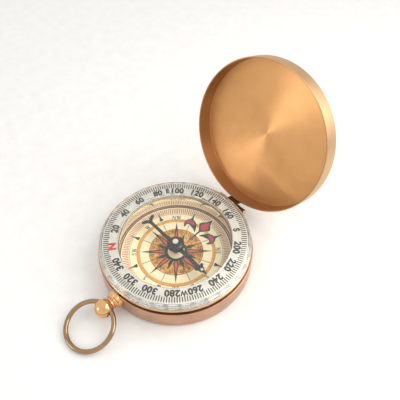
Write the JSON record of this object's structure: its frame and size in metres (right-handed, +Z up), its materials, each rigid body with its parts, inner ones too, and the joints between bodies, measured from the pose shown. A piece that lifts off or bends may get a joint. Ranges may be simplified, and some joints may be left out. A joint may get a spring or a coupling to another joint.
{
  "type": "pocket compass",
  "caption": "Round brass pocket compass with a hinged flip lid, turning clear degree bezel, pivoted needle over a compass card, and a ball crown with a bow ring.",
  "frame": {"origin": "centre of the case's flat underside, where it stands", "axes": "+Z up along the needle's pivot, +Y towards the lid hinge, -Y towards the crown, +X along the hinge pin"},
  "size_m": [0.0506, 0.0955, 0.0538],
  "materials": {
    "satin_rose_brass": "satin, rose gold tone",
    "polished_brass": "polished, warm gold",
    "spun_brass": "spun, fine concentric brush lines",
    "spring_steel": "plain spring steel",
    "pin_steel": "polished steel",
    "black_steel": "gloss black",
    "black_plastic": "gloss black",
    "clear_plastic": "clear, moulded",
    "crystal_glass": "clear flat glass",
    "printed_card": "printed card, matt",
    "printed_silver": "satin silver with black print",
    "ivory_plastic": "matt",
    "bright_reflector": "bright plated",
    "gasket_rubber": "matt",
    "ruby": "polished",
    "lume": "luminous paint"
  },
  "bodies": {
    "case": {"case_cup": "satin_rose_brass", "bezel_seat_ring": "polished_brass", "dial_housing": "ivory_plastic", "card_plate": "pin_steel", "dial_card": "printed_card", "reflector_ring": "bright_reflector", "crystal": "crystal_glass", "crystal_gasket": "gasket_rubber", "pivot_boss": "polished_brass", "pivot_pin": "pin_steel", "case_hinge_leaf": "satin_rose_brass", "hinge_pin": "polished_brass", "pendant": "polished_brass", "latch_screw": "pin_steel"},
    "bezel": {"clear_bezel": "clear_plastic", "degree_ring": "printed_silver", "bezel_snap_wire": "spring_steel"},
    "needle": {"needle_blade": "black_steel", "needle_cap": "black_plastic", "pivot_jewel": "ruby", "lume_dot_cap": "lume", "lume_dot_tip": "lume"},
    "lid": {"lid_shell": "spun_brass", "lid_hinge_leaf": "spun_brass"},
    "crown": {"crown_ball": "polished_brass", "crown_stem": "pin_steel"},
    "bow": {"bow_ring": "polished_brass"},
    "latch": {"latch_spring": "spring_steel"}
  },
  "joints": [
    {"name": "lid_hinge", "type": "hinge", "parent": "case", "child": "lid", "pos_m": [0, 0.02655, 0.0057], "axis": [1, 0, 0], "range_deg": [0, 110.2]},
    {"name": "bezel_turn", "type": "hinge", "parent": "case", "child": "bezel", "pos_m": [0, 0, 0.0096], "axis": [0, 0, 1], "continuous": true},
    {"name": "needle_spin", "type": "hinge", "parent": "case", "child": "needle", "pos_m": [0, 0, 0.00795], "axis": [0, 0, 1], "continuous": true},
    {"name": "crown_push", "type": "slide", "parent": "case", "child": "crown", "axis": [0, 1, 0], "range_m": [0, 0.00045], "stiffness_N_per_m": 900},
    {"name": "latch_release", "type": "hinge", "parent": "case", "child": "latch", "pos_m": [-0.01802, -0.01262, 0.003], "axis": [0, 0, 1], "range_deg": [0, 1.6]},
    {"name": "bow_swing", "type": "hinge", "parent": "crown", "child": "bow", "pos_m": [0, -0.02935, 0.0049], "axis": [-1, 0, 0], "range_deg": [-90, 130]}
  ],
  "couplings": [
    {"joint": "latch_release", "follows": "crown_push", "rad_per_m": 54.05}
  ]
}
